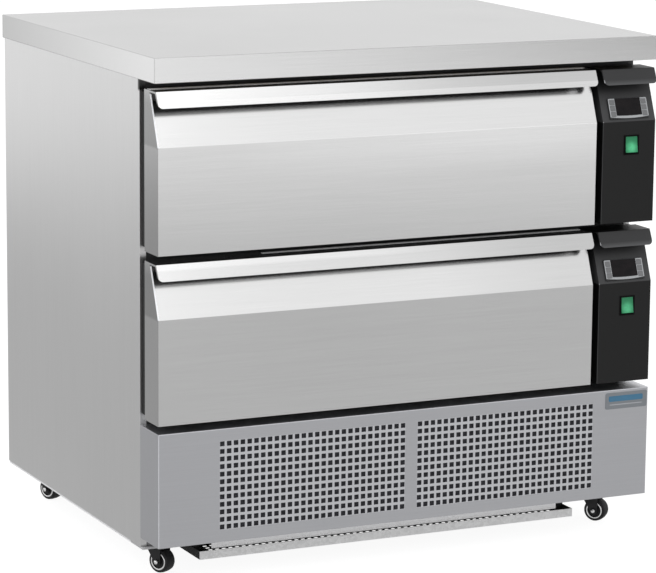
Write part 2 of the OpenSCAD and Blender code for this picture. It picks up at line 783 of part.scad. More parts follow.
module evaporators() {
    color([0.80, 0.80, 0.81]) for (z0 = [z_low, z_up]) {
        z = z0 + lap_z + liner_t + evap_up;
        difference() {
            translate([evap_x0, evap_y, z]) fin_block(evap_w, evap_t, evap_h, 12, 2);
            for (i = [0 : floor((evap_w - 8) / 12) - 1])
                translate([evap_x0 + 5 + i * 12, evap_y - 1, z + 6]) cube([10, evap_t + 2, evap_h - 12]);
        }
        for (x = [evap_x0 + 1, evap_x0 + evap_w - 13])
            box(x, x + 12, evap_y + evap_t, y_liner, z + 20, z + evap_h - 20);
    }
    color([0.10, 0.10, 0.10]) for (z0 = [z_low, z_up])
        translate([efan_x, efan_y, z0 + lap_z + liner_t + evap_up + evap_h / 2]) rotate([-90, 0, 0]) difference() {
            union() {
                difference() {
                    translate([-fan_box / 2, -fan_box / 2, 0]) cube([fan_box, fan_box, fan_t]);
                    translate([0, 0, -1]) cylinder(d = 112, h = fan_t + 2);
                }
                translate([0, 0, fan_t - 8]) cylinder(d = 40, h = 8);
                for (a = [0, 90]) rotate([0, 0, a]) translate([-58, -3, fan_t - 4]) cube([116, 6, 4]);
                for (x = [-54, 54], y = [-54, 54]) translate([x, y, fan_t]) cylinder(d = 8, h = 4);
            }
            translate([0, 0, fan_t - 10]) cylinder(d = 4.1, h = 9);
        }
}

module evaporator_fan(z0) {
    color([0.13, 0.13, 0.14])
        translate([efan_x, efan_y + 3, z0 + lap_z + liner_t + evap_up + evap_h / 2]) rotate([-90, 0, 0])
            fan_blades(106, 38, 13.5, 7, 22, 4, 7);
}

// ---- Refrigerant pipes: straight runs along the axes joined by true elbows ----

function unit(v) = v / norm(v);

module run(a, b, d) {
    v = b - a;
    l = norm(v);
    turn = abs(v[0]) > 0.001 ? [0, v[0] > 0 ? 90 : -90, 0]
        : abs(v[1]) > 0.001 ? [v[1] > 0 ? -90 : 90, 0, 0]
        : [v[2] > 0 ? 0 : 180, 0, 0];
    translate(a) rotate(turn) cylinder(d = d, h = l);
}

module elbow(p, a, b, r, d) {
    x = -b;
    y = a;
    z = cross(x, y);
    c = p - r * a + r * b;
    multmatrix([[x[0], y[0], z[0], c[0]], [x[1], y[1], z[1], c[1]], [x[2], y[2], z[2], c[2]], [0, 0, 0, 1]])
        rotate_extrude(angle = 90) translate([r, 0]) circle(d = d, $fn = 24);
}

module pipe(points, d, r) {
    n = len(points);
    for (i = [0 : n - 2]) {
        dir = unit(points[i + 1] - points[i]);
        a = i == 0 ? points[i] : points[i] + r * dir;
        b = i == n - 2 ? points[i + 1] : points[i + 1] - r * dir;
        run(a, b, d, $fn = 24);
    }
    for (i = [1 : n - 2])
        elbow(points[i], unit(points[i] - points[i - 1]), unit(points[i + 1] - points[i]), r, d);
}

module refrigerant_pipes() {
    bend = 14;
    discharge_z = suction_z + 60;
    evap_end = evap_x0 + evap_w;
    low_z = z_low + lap_z;
    up_z = z_up + lap_z;
    y_pipe = riser_y;
    color([0.72, 0.42, 0.27]) {
        // Suction line from both evaporators to the compressor
        pipe([[evap_end, y_pipe, up_z + return_z], [riser_x, y_pipe, up_z + return_z],
            [riser_x, y_pipe, suction_z], [comp_x, y_pipe, suction_z],
            [comp_x, comp_y + comp_r + stub_l, suction_z]], pipe_d, bend);
        pipe([[evap_end, y_pipe, low_z + return_z], [riser_x - pipe_d / 2 + 2, y_pipe, low_z + return_z]],
            pipe_d, bend);
        // Liquid line from the condenser to both evaporators
        pipe([[evap_end, y_pipe, up_z + coil_z], [riser_x + 24, y_pipe, up_z + coil_z],
            [riser_x + 24, y_pipe, discharge_z], [riser_x + 24, cond_y + 20, discharge_z],
            [cond_x0 + cond_w, cond_y + 20, discharge_z]], pipe_d, bend);
        pipe([[evap_end, y_pipe, low_z + coil_z], [riser_x + 24 - pipe_d / 2 + 2, y_pipe, low_z + coil_z]],
            pipe_d, bend);
        // Discharge line from the compressor to the condenser
        pipe([[comp_x - comp_r - stub_l, comp_y, suction_z], [cond_x0 + cond_w + 40, comp_y, suction_z],
            [cond_x0 + cond_w + 40, cond_y + 12, suction_z], [cond_x0 + cond_w, cond_y + 12, suction_z]],
            pipe_d, bend);
    }
}

// ---- Casters ----

plate_t = 2.5;
race_t = 4.5;
race_d = 42;
king_d = 6;
fork_top = z_base - plate_t - race_t - seam;
crown_t = 3;
arm_t = 2;
arm_in = wheel_w / 2 + 1;
axle_d = 5;
axle_z = wheel_d / 2;

// Swivel position and heading of each caster: the wheel trails towards the heading
casters = [
    [-x_axle, y_axle_front, -60],
    [x_axle, y_axle_front, -51],
    [-x_axle, y_axle_rear, -66],
    [x_axle, y_axle_rear, -51]
];

module at_caster(i) {
    translate([casters[i][0], casters[i][1], 0]) rotate([0, 0, casters[i][2]]) children();
}

module caster_plates() {
    bolt_at = plate_w / 2 - 6;
    bolt_head = 2.5;
    color([0.08, 0.08, 0.08]) for (c = casters) translate([c[0], c[1], 0]) {
        translate([-plate_w / 2, -plate_w / 2, z_base - plate_t]) cube([plate_w, plate_w, plate_t]);
        for (x = [-bolt_at, bolt_at], y = [-bolt_at, bolt_at])
            translate([x, y, z_base - plate_t - bolt_head]) cylinder(d = 9, h = bolt_head + weld, $fn = 6);
        translate([0, 0, z_base - plate_t - race_t]) cylinder(d = race_d, h = race_t);
        translate([0, 0, fork_top - crown_t - 1.8]) cylinder(d = king_d, h = crown_t + 3);
        translate([0, 0, fork_top - crown_t - 1.8]) cylinder(d = 10, h = 1.5);
    }
}

module fork(i) {
    color([0.09, 0.09, 0.09]) at_caster(i) union() {
        difference() {
            union() {
                translate([0, 0, fork_top - crown_t]) cylinder(d = race_d + 2, h = crown_t);
                translate([0, -arm_in - arm_t, fork_top - crown_t]) cube([trail, 2 * (arm_in + arm_t), crown_t]);
                for (y = [-arm_in - arm_t, arm_in]) translate([0, y, 0]) rotate([90, 0, 0])
                    translate([0, 0, -arm_t]) linear_extrude(arm_t) {
                        polygon([[-9, fork_top], [trail + 6, fork_top], [trail + 6.5, axle_z], [trail - 6.5, axle_z]]);
                        translate([trail, axle_z]) circle(6.5);
                    }
            }
            translate([0, 0, fork_top - crown_t - 1]) cylinder(d = king_d + 0.1, h = crown_t + 2);
        }
        translate([trail, 0, axle_z]) rotate([90, 0, 0]) {
            cylinder(d = axle_d, h = 2 * (arm_in + arm_t), center = true);
            for (s = [-1, 1]) translate([0, 0, s * (arm_in + arm_t + 1.3)]) cylinder(d = 9, h = 2.6, center = true, $fn = 6);
        }
    }
}

module wheel(i) {
    hub_w = 2 * arm_in - 2 * seam;
    color([0.10, 0.10, 0.10]) at_caster(i) translate([trail, 0, axle_z]) rotate([90, 0, 0]) difference() {
        union() {
            rotate_extrude() polygon([[0, -wheel_w / 2 + 2], [13, -wheel_w / 2 + 2], [13.5, -wheel_w / 2],
                [wheel_d / 2 - 2.5, -wheel_w / 2], [wheel_d / 2 - 0.8, -wheel_w / 2 + 1.6], [wheel_d / 2, -4],
                [wheel_d / 2, 4], [wheel_d / 2 - 0.8, wheel_w / 2 - 1.6], [wheel_d / 2 - 2.5, wheel_w / 2],
                [13.5, wheel_w / 2], [13, wheel_w / 2 - 2], [0, wheel_w / 2 - 2]]);
            cylinder(d = 10, h = hub_w, center = true);
        }
        cylinder(d = axle_d + 0.1, h = wheel_w + 10, center = true);
    }
}

worktop();
worktop_core();
left_side_panel();
right_side_panel();
rear_panel();
insulated_carcass();
chamber_liners();
face_frame();
base_chassis();
plinth_panel();
compressor_tray();
badge_plate();
air_filter();
control_panels();
control_box();
controller_housings();
display_lenses();
key(z_up, 0);  // upper_key_1
key(z_up, 1);  // upper_key_2
key(z_up, 2);  // upper_key_3
key(z_up, 3);  // upper_key_4
key(z_up, 4);  // upper_key_5
key(z_up, 5);  // upper_key_6
key(z_low, 0);  // lower_key_1
key(z_low, 1);  // lower_key_2
key(z_low, 2);  // lower_key_3
key(z_low, 3);  // lower_key_4
key(z_low, 4);  // lower_key_5
key(z_low, 5);  // lower_key_6
switch_frames();
rocker(z_up);  // upper_rocker
rocker(z_low);  // lower_rocker
drawer_skin(z_up);  // upper_drawer_skin
drawer_core(z_up);  // upper_drawer_core
drawer_gasket(z_up);  // upper_drawer_gasket
pan_frame(z_up);  // upper_pan_frame
slide_middle(z_up);  // upper_slide_middle
drawer_skin(z_low);  // lower_drawer_skin
drawer_core(z_low);  // lower_drawer_core
drawer_gasket(z_low);  // lower_drawer_gasket
pan_frame(z_low);  // lower_pan_frame
slide_middle(z_low);  // lower_slide_middle
slide_channels();
compressor();
condenser();
condenser_fan();
evaporators();
evaporator_fan(z_up);  // upper_evaporator_fan
evaporator_fan(z_low);  // lower_evaporator_fan
refrigerant_pipes();
cable_gland();
caster_plates();
fork(0);  // fork_front_left
fork(1);  // fork_front_right
fork(2);  // fork_rear_left
fork(3);  // fork_rear_right
wheel(0);  // wheel_front_left
wheel(1);  // wheel_front_right
wheel(2);  // wheel_rear_left
wheel(3);  // wheel_rear_right
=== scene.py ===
import math

import bmesh
import bpy
from mathutils import Matrix, Vector


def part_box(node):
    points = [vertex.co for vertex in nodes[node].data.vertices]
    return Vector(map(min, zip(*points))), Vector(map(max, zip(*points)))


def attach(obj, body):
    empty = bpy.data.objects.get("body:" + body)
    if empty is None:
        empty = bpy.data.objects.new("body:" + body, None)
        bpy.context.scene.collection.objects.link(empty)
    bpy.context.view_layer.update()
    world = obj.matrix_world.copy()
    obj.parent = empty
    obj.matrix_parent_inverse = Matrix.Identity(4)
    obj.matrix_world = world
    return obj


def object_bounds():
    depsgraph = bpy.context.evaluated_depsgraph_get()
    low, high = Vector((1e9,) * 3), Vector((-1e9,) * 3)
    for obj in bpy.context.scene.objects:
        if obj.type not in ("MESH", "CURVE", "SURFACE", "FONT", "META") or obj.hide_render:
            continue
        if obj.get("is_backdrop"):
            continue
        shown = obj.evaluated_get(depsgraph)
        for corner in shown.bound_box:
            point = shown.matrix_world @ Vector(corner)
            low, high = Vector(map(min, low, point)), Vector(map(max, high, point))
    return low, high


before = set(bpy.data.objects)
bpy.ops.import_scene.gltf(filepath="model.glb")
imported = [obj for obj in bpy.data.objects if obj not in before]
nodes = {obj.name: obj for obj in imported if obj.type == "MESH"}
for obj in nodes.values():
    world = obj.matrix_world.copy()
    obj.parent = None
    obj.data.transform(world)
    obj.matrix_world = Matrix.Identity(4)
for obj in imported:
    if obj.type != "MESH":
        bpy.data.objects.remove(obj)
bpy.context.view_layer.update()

MM = 0.001
CORNERS = ("front_left", "front_right", "rear_left", "rear_right")
# Underside of each drawer front and control panel
ROWS = {"lower": 268 * MM, "upper": 540 * MM}
# Front of the drawers, control panels and plinth
FACE_Y = -351 * MM
BACK_Y = 352 * MM
# Height of the fold between face and slope, above a front's underside
FOLD_Z = 170 * MM
SLOPE = math.atan2(33, 84)
# Height of the drawers' top flanges, above a front's underside
FLANGE_Z = 257 * MM
# The folds down the left of the drawer fronts and of the plinth, in millimetres
FRONT_FOLD_X = -445.9
PLINTH_FOLD_X = -446.1
CONTROLLER_X = 397.5 * MM
CONTROLLER_UP = 22 * MM
SWITCH_X = 402 * MM
SWITCH_GLOW_Z = 126 * MM


# ---- Node graphs ----


class Graph:
    """A material's node tree with a Principled shader."""

    def __init__(self, name, color, metallic=0.0, roughness=0.5, **sockets):
        self.mat = bpy.data.materials.new(name)
        self.mat.use_nodes = True
        self.tree = self.mat.node_tree
        self.tree.nodes.clear()
        out = self.add("ShaderNodeOutputMaterial")
        self.bsdf = self.add("ShaderNodeBsdfPrincipled")
        self.link(self.bsdf, 0, out, 0)
        self.bsdf.inputs["Base Color"].default_value = (*color, 1)
        self.bsdf.inputs["Metallic"].default_value = metallic
        self.bsdf.inputs["Roughness"].default_value = roughness
        for key, value in sockets.items():
            socket = key.replace("_", " ").title().replace("Ior", "IOR")
            self.bsdf.inputs[socket].default_value = value
        self.coords = self.add("ShaderNodeTexCoord")

    def add(self, kind, **settings):
        n = self.tree.nodes.new(kind)
        for key, value in settings.items():
            setattr(n, key, value)
        return n

    def link(self, a, i, b, j):
        self.tree.links.new(a.outputs[i], b.inputs[j])

    def noise(self, scale, detail=4.0, rough=0.55):
        """Noise over object coordinates stretched by scale."""
        m = self.add("ShaderNodeMapping")
        m.inputs["Scale"].default_value = scale
        self.link(self.coords, "Object", m, 0)
        n = self.add("ShaderNodeTexNoise")
        n.inputs["Scale"].default_value = 1.0
        n.inputs["Detail"].default_value = detail
        n.inputs["Roughness"].default_value = rough
        self.link(m, 0, n, "Vector")
        return n

    def cells(self, scale):
        """Voronoi cells over object coordinates."""
        v = self.add("ShaderNodeTexVoronoi")
        v.inputs["Scale"].default_value = scale
        self.link(self.coords, "Object", v, "Vector")
        return v

    def combine(self, kind, a, b):
        """Math node over the first outputs of two nodes."""
        n = self.add("ShaderNodeMath", operation=kind)
        self.link(a, 0, n, 0)
        self.link(b, 0, n, 1)
        return n

    def spread(self, source, out, low, high, a=0.3, b=0.7):
        """Maps source from a..b to low..high."""
        r = self.add("ShaderNodeMapRange")
        for i, v in enumerate((a, b, low, high)):
            r.inputs[i + 1].default_value = v
        self.link(source, out, r, 0)
        return r

    def roughen(self, source, low, high):
        """Roughness from low to high over the middle of a noise."""
        self.link(self.spread(source, 0, low, high), 0, self.bsdf, "Roughness")

    def tint(self, factor, dark, light):
        """Colour from dark to light by factor, into the base colour."""
        m = self.add("ShaderNodeMix", data_type="RGBA")
        m.inputs[6].default_value = (*dark, 1)
        m.inputs[7].default_value = (*light, 1)
        self.link(factor, 0, m, 0)
        self.link(m, 2, self.bsdf, "Base Color")
        self.tinted = m

    def along(self, axis, start, end):
        """0 at start to 1 at end on an object axis, in metres."""
        split = self.add("ShaderNodeSeparateXYZ")
        self.link(self.coords, "Object", split, 0)
        return self.spread(split, "xyz".index(axis), 0, 1, start, end)

    def within(self, limits):
        """1 inside all limits, a list for along()."""
        inside = self.along(*limits[0])
        for limit in limits[1:]:
            inside = self.combine("MULTIPLY", inside, self.along(*limit))
        return inside

    def shade(self, factor, limits):
        """Multiplies the base colour by factor inside limits."""
        inside = self.within(limits)
        m = self.add("ShaderNodeMix", data_type="RGBA", blend_type="MULTIPLY")
        m.inputs[7].default_value = (factor, factor, factor, 1)
        self.link(inside, 0, m, 0)
        self.link(self.tinted, 2, m, 6)
        self.link(m, 2, self.bsdf, "Base Color")
        self.tinted = m
        return inside

    def bump(self, source, strength, distance, previous=None):
        b = self.add("ShaderNodeBump")
        b.inputs["Strength"].default_value = strength
        b.inputs["Distance"].default_value = distance
        self.link(source, 0, b, "Height")
        if previous:
            self.link(previous, 0, b, "Normal")
        self.link(b, 0, self.bsdf, "Normal")
        return b


def scaled(color, k):
    return tuple(min(1.0, c * k) for c in color)


def steel(name, color, roughness, grain, depth, shades=()):
    """Brushed sheet: fine streaks along the grain axis, bands and clouds of tone."""
    g = Graph(name, color, metallic=1.0, roughness=roughness)
    streak = g.noise([9 if axis == grain else 700 for axis in "xyz"], detail=3)
    band = g.noise([1.2 if axis == grain else 90 for axis in "xyz"], detail=2)
    cloud = g.noise((2.2, 2.2, 2.2), detail=3)
    tone = g.combine("ADD", g.spread(streak, 0, 0, 0.55), g.spread(band, 0, 0, 0.2))
    tone = g.combine("ADD", tone, g.spread(cloud, 0, 0, 0.25))
    g.tint(tone, scaled(color, 0.965), scaled(color, 1.035))
    for factor, limits in shades:
        g.shade(factor, limits)
    g.roughen(cloud, roughness - 0.02, roughness + 0.02)
    g.bump(streak, depth, 0.00035)
    return g.mat


def painted(name, color, roughness, grain, depth=0.08, metallic=0.0, wear=0.06, shades=(),
            **sockets):
    """Fine orange-peel or moulded texture with a slight change of tone."""
    g = Graph(name, color, metallic=metallic, roughness=roughness, **sockets)
    peel = g.noise((grain, grain, grain), detail=2)
    cloud = g.noise((14, 14, 14), detail=4)
    g.tint(g.spread(cloud, 0, 0, 1), scaled(color, 1 - wear), scaled(color, 1 + wear))
    for factor, limits in shades:
        g.shade(factor, limits)
    g.roughen(cloud, roughness - 0.04, roughness + 0.05)
    g.bump(peel, depth, 0.0003)
    return g.mat


def galvanised(name, color, roughness, metallic=1.0, painted_behind=None, lit=None, shades=()):
    """Zinc with crystal-like spangle; black paint behind a given depth, a painted glow inside
    lit.
    """
    g = Graph(name, color, metallic=metallic, roughness=roughness)
    tone = g.add("ShaderNodeSeparateColor")
    g.link(g.cells(210), "Color", tone, 0)
    g.tint(tone, scaled(color, 0.93), scaled(color, 1.06))
    for factor, limits in shades:
        g.shade(factor, limits)
    rough = g.spread(tone, 0, roughness - 0.04, roughness + 0.05, 0, 1)
    if painted_behind is not None:
        paint = g.shade(0.035, [("y", painted_behind, painted_behind + 0.0004)])
        g.link(g.spread(paint, 0, metallic, 0, 0, 1), 0, g.bsdf, "Metallic")
        matt = g.add("ShaderNodeMath", operation="MULTIPLY_ADD")
        matt.inputs[1].default_value = 0.5
        g.link(paint, 0, matt, 0)
        g.link(rough, 0, matt, 2)
        rough = matt
    g.link(rough, 0, g.bsdf, "Roughness")
    if lit:
        g.bsdf.inputs["Emission Color"].default_value = (0.97, 0.97, 0.98, 1)
        g.link(g.spread(g.within(lit), 0, 0, 0.27, 0, 1), 0, g.bsdf, "Emission Strength")
    g.bump(g.noise((260, 260, 260), detail=3), 0.06, 0.0004)
    return g.mat


def foam(name, color):
    """Rigid foam or board with an open cut grain."""
    g = Graph(name, color, roughness=0.85)
    pores = g.cells(420)
    g.tint(g.spread(pores, "Distance", 0, 1, 0, 0.6), scaled(color, 0.82), scaled(color, 1.05))
    g.bump(pores, 0.4, 0.0006)
    return g.mat


def rubber(name, color, ribs=None):
    """Matt rubber; ribs are fine grooves across Y."""
    g = Graph(name, color, roughness=0.62, specular_ior_level=0.35)
    first = g.bump(g.noise((500, 500, 500), detail=3), 0.15, 0.0003)
    tone = g.spread(g.noise((30, 30, 30)), 0, 0, 1)
    g.tint(tone, scaled(color, 0.8), scaled(color, 1.25))
    if ribs:
        w = g.add("ShaderNodeTexWave", bands_direction="Y", wave_profile="SIN")
        w.inputs["Scale"].default_value = ribs
        w.inputs["Distortion"].default_value = 0
        g.link(g.coords, "Object", w, "Vector")
        g.bump(w, 0.6, 0.0012, first)
    return g.mat


def filter_mat(name, color):
    """Open fibre mat."""
    g = Graph(name, color, roughness=0.95, specular_ior_level=0.1)
    fibre = g.noise((350, 350, 350), detail=6, rough=0.7)
    g.tint(g.spread(fibre, 0, 0, 1), scaled(color, 0.4), scaled(color, 2.2))
    g.bump(fibre, 0.8, 0.002)
    return g.mat


def copper(name, color):
    """Drawn pipe with patches of tarnish."""
    g = Graph(name, color, metallic=1.0, roughness=0.32)
    tarnish = g.noise((24, 24, 24), detail=5)
    g.tint(g.spread(tarnish, 0, 0, 1), scaled(color, 0.62), scaled(color, 1.08))
    g.roughen(tarnish, 0.42, 0.26)
    g.bump(g.noise((90, 90, 90)), 0.1, 0.0004)
    return g.mat


def smoked_window(name):
    """Dark display window; the tint is faintly uneven, as behind smoked plastic."""
    g = Graph(name, (0.005, 0.004, 0.005), roughness=0.16, specular_ior_level=0.16)
    cloud = g.noise((55, 90, 90), detail=2)
    g.tint(g.spread(cloud, 0, 0, 1), (0.003, 0.0025, 0.0035), (0.010, 0.007, 0.008))
    g.roughen(g.noise((300, 300, 300)), 0.14, 0.20)
    return g.mat


def green_lens(name, centre, glow_strength):
    """Translucent green rocker, lit from inside around centre."""
    g = Graph(name, (0.02, 0.42, 0.17), roughness=0.28, specular_ior_level=0.5)
    shift = g.add("ShaderNodeVectorMath", operation="SUBTRACT")
    shift.inputs[1].default_value = centre
    g.link(g.coords, "Object", shift, 0)
    size = g.add("ShaderNodeVectorMath", operation="LENGTH")
    g.link(shift, 0, size, 0)
    glow = g.add("ShaderNodeMapRange", interpolation_type="SMOOTHSTEP")
    for i, v in enumerate((0.0145, 0.001, 0.0, 1.0)):
        glow.inputs[i + 1].default_value = v
    g.link(size, 1, glow, 0)
    facets = g.noise((260, 260, 260), detail=2)
    uneven = g.combine("MULTIPLY", glow, g.spread(facets, 0, 0.75, 1.1))
    g.tint(uneven, (0.022, 0.23, 0.095), (0.09, 0.50, 0.24))
    lit = g.add("ShaderNodeMix", data_type="RGBA")
    lit.inputs[6].default_value = (0.0, 0.02, 0.008, 1)
    lit.inputs[7].default_value = (0.06, 0.42, 0.18, 1)
    g.link(uneven, 0, lit, 0)
    g.link(lit, 2, g.bsdf, "Emission Color")
    g.bsdf.inputs["Emission Strength"].default_value = glow_strength
    g.bump(facets, 0.15, 0.0004)
    return g.mat


# ---- Lighter and darker places, most of them painted light and shade ----
# Each shade is a factor and the limits inside which it holds: an axis and the two places between
# which it comes in

# Worktop: painted shade on its plan and on its left edge, darker towards the back; a dark seam at
# its corner
ON_TOP, BELOW_TOP = ("z", 0.8488, 0.8494), ("z", 0.8494, 0.8488)
TOP_LEFT = ("x", -0.4490, -0.4494)
TOP_SHADES = [
    (0.515, [ON_TOP]),
    (0.85, [TOP_LEFT, BELOW_TOP]),
    (0.64, [TOP_LEFT, BELOW_TOP, ("y", -0.31, 0.35)]),
    (0.80, [("x", -0.4484, -0.4490), ("y", -0.3434, -0.3440), BELOW_TOP]),
]

# The end plates of the drawer fronts and of the plinth, on their left
LEFT_END = ("x", -0.4461, -0.4464)
# The plinth: painted shade on its left end, and a painted highlight on the metal between the
# holes of both fields
FIELD_Z = [("z", 0.0888, 0.0896), ("z", 0.2352, 0.2344)]
PLINTH_SHADES = [
    (0.88, [LEFT_END]),
    (1.28, [("x", -0.3417, -0.3409), ("x", -0.0106, -0.0114)] + FIELD_Z),
    (1.28, [("x", 0.0106, 0.0114), ("x", 0.3417, 0.3409)] + FIELD_Z),
]

# Painted shade on the stiles of the side panels above the upper drawer
STILE_SHADES = [(0.10, [("z", 0.790, 0.794), ("y", -0.2690, -0.2700)])]

# The chassis: painted shade on its front left corner above the caster, and a faint painted glow
# on
# # the front face between the casters, standing in for light from the floor
PAD_SHADES = [(0.60, [("x", -0.3605, -0.3615), ("x", -0.4466, -0.4462), ("y", -0.2295, -0.2305)])]
APRON_GLOW = [("y", -0.2704, -0.2708), ("x", -0.330, -0.326), ("x", 0.330, 0.326)]

# On the flat face of a drawer front or control panel
ON_FACE = ("y", -0.3505, -0.3509)


def over(z0, low, high):
    """Limit between two heights above a front's underside."""
    return ("z", z0 + low, z0 + high)


def on_lip(z0):
    """Limits of the handle lip's front."""
    return [("y", -0.3375, -0.3385), over(z0, 0.2312, 0.2324)]


def above_fold(z0):
    """Limit of the sloping face and all above it."""
    return over(z0, 0.1695, 0.1705)


def panel_highlights():
    """The control panels get painted highlights: lighter on their left returns and edges, slopes
    and lips.
    """
    on_return, off_return = ("x", 0.3463, 0.3461), ("x", 0.3461, 0.3463)
    shades = [(5.5, [on_return]), (12, [off_return, ("x", 0.3484, 0.3478), ON_FACE])]
    for z0 in ROWS.values():
        shades += [(14, [off_return, above_fold(z0), over(z0, 0.240, 0.190)]),
                   (8.5, on_lip(z0) + [over(z0, 0.2568, 0.2562)])]
    return shades


def front_shades(z0, end_tone, band, right_slope_shade, face_top_highlight=None, lip_top_highlight=None):
    """A drawer front: a darker tone on its end plates, with painted shade on them between fold
    and lip;
    painted shade under the handle lip at the height band, and on the right of the slope and lip;
    painted highlights on the top of the face or of the lip."""
    shades = [
        (end_tone, [LEFT_END]),
        # painted shade on the end plates between the fold and the lip
        (0.72, [LEFT_END, over(z0, 0.168, 0.172), over(z0, 0.256, 0.236)]),
        # painted shade under the handle lip
        (0.29, [over(z0, band - 0.0013, band + 0.0013), over(z0, 0.2544, 0.2538),
                ("y", -0.3425, -0.3415), ("x", 0.316, 0.312), ("x", -0.4458, -0.4455)]),
        # painted shade towards the right of the slope
        (right_slope_shade, [("x", 0.05, 0.28), above_fold(z0)]),
        # painted shade towards the right of the lip
        (0.86, on_lip(z0) + [("x", -0.05, 0.20)]),
    ]
    # painted highlight on the top of the face
    if face_top_highlight:
        shades.append((face_top_highlight, [("x", -0.40, 0.20), over(z0, 0.100, 0.155), ON_FACE]))
    # painted highlight on the top of the lip
    if lip_top_highlight:
        shades.append((lip_top_highlight, on_lip(z0) + [("x", 0.08, -0.10), over(z0, 0.246, 0.250)]))
    return shades


UPPER_SHADES = front_shades(ROWS["upper"], 0.50, 0.2230, 0.98, face_top_highlight=1.19)
LOWER_SHADES = front_shades(ROWS["lower"], 0.60, 0.2228, 0.89, lip_top_highlight=1.13)


# ---- Finishes ----

WHITE = (1, 1, 1, 1)
# Steel: name, colour, roughness, grain axis, grain depth. Paint: name, colour, roughness,
# grain, grain depth
FINISH = {
    "worktop": steel("top_steel", (0.92, 0.92, 0.92), 0.22, "x", 0.05, TOP_SHADES),
    "panel": steel("panel_steel", (0.72, 0.72, 0.72), 0.30, "z", 0.06, STILE_SHADES),
    "upper_front": steel("upper_front", (0.81, 0.81, 0.81), 0.17, "x", 0.04, UPPER_SHADES),
    "lower_front": steel("lower_front", (0.81, 0.81, 0.81), 0.17, "x", 0.04, LOWER_SHADES),
    "inner": steel("inner_steel", (0.72, 0.72, 0.73), 0.36, "z", 0.06),
    "plinth": steel("plinth_steel", (0.615, 0.62, 0.645), 0.38, "x", 0.04, PLINTH_SHADES),
    "slide": steel("slide_steel", (0.62, 0.63, 0.64), 0.36, "y", 0.10),
    "aluminium": steel("aluminium", (0.80, 0.80, 0.81), 0.34, "z", 0.06),
    "bright": steel("bright_steel", (0.86, 0.86, 0.86), 0.18, "x", 0.03),
    "wheel_ring": steel("ring_bright", (0.88, 0.88, 0.88), 0.22, "z", 0.05),
    "badge": steel("badge", (0.34, 0.36, 0.385), 0.42, "x", 0.05),
    "tray": galvanised("zinc_sheet", (0.90, 0.90, 0.90), 0.36, 0.75, painted_behind=-0.2897),
    # painted glow on the chassis front face, painted shade on its front left corner
    "chassis": galvanised("zinc_rails", (0.94, 0.93, 0.93), 0.60, 0.0, lit=APRON_GLOW,
                          shades=PAD_SHADES),
    "zinc_box": galvanised("zinc_box", (0.62, 0.62, 0.63), 0.44),
    "foam": foam("insulation", (0.84, 0.78, 0.58)),
    "board": foam("core_board", (0.52, 0.40, 0.27)),
    "black_frame": painted("black_frame", (0.026, 0.026, 0.027), 0.48, 400),
    "black_panel": painted("black_panel", (0.0036, 0.0036, 0.0037), 0.45, 1100, 0.12,
                           shades=panel_highlights(), specular_ior_level=0.40),
    "bezel": painted("bezel", (0.002, 0.002, 0.002), 0.50, 650, 0.10, specular_ior_level=0.12),
    "gasket": rubber("gasket", (0.018, 0.018, 0.018), 60),
    "tyre": rubber("tyre", (0.014, 0.014, 0.015)),
    "filter": filter_mat("filter", (0.025, 0.025, 0.028)),
    "blue": painted("blue_bar", (0.06, 0.19, 0.31), 0.40, 800),
    "pale": painted("pale_line", (0.42, 0.43, 0.45), 0.45, 800),
    "housing": painted("housing", (0.018, 0.018, 0.020), 0.40, 700, 0.10),
    "fascia": painted("fascia_silver", (0.44, 0.45, 0.46), 0.42, 1600, 0.10, metallic=0.55),
    "key": painted("key_grey", (0.20, 0.20, 0.205), 0.50, 1400, 0.12, metallic=0.2),
    "window": smoked_window("display_window"),
    "black_plastic": painted("black_plastic", (0.014, 0.014, 0.015), 0.38, 650, 0.10),
    "compressor": painted("enamel", (0.012, 0.012, 0.013), 0.24, 260, 0.10, coat_weight=0.3),
    "coil": painted("coil_dark", (0.05, 0.05, 0.055), 0.5, 300, 0.15, metallic=0.4),
    "copper": copper("copper", (0.78, 0.44, 0.29)),
    "caster": painted("caster_black", (0.016, 0.016, 0.017), 0.34, 300, 0.12, metallic=0.3),
    # painted highlight with a faint glow, on the drawers' top flanges
    "strip": painted("flange_highlight", (0.80, 0.80, 0.80), 0.45, 700,
                     emission_color=WHITE, emission_strength=0.04),
    # painted highlight with a faint glow, on the folds of the drawer fronts
    "fold_highlight": painted("fold_highlight", (0.96, 0.96, 0.97), 0.25, 800, 0.05, wear=0.02,
                          emission_color=WHITE, emission_strength=0.16),
    # painted highlight on the plinth's folded edges
    "plinth_highlight": painted("plinth_highlight", (0.66, 0.66, 0.68), 0.35, 800, 0.05, wear=0.02),
}
for row, glow in (("lower", 0.16), ("upper", 0.32)):
    lens_centre = (SWITCH_X, FACE_Y - 2 * MM, ROWS[row] + SWITCH_GLOW_Z)
    FINISH[row + "_lens"] = green_lens(row + "_lens", lens_centre, glow)

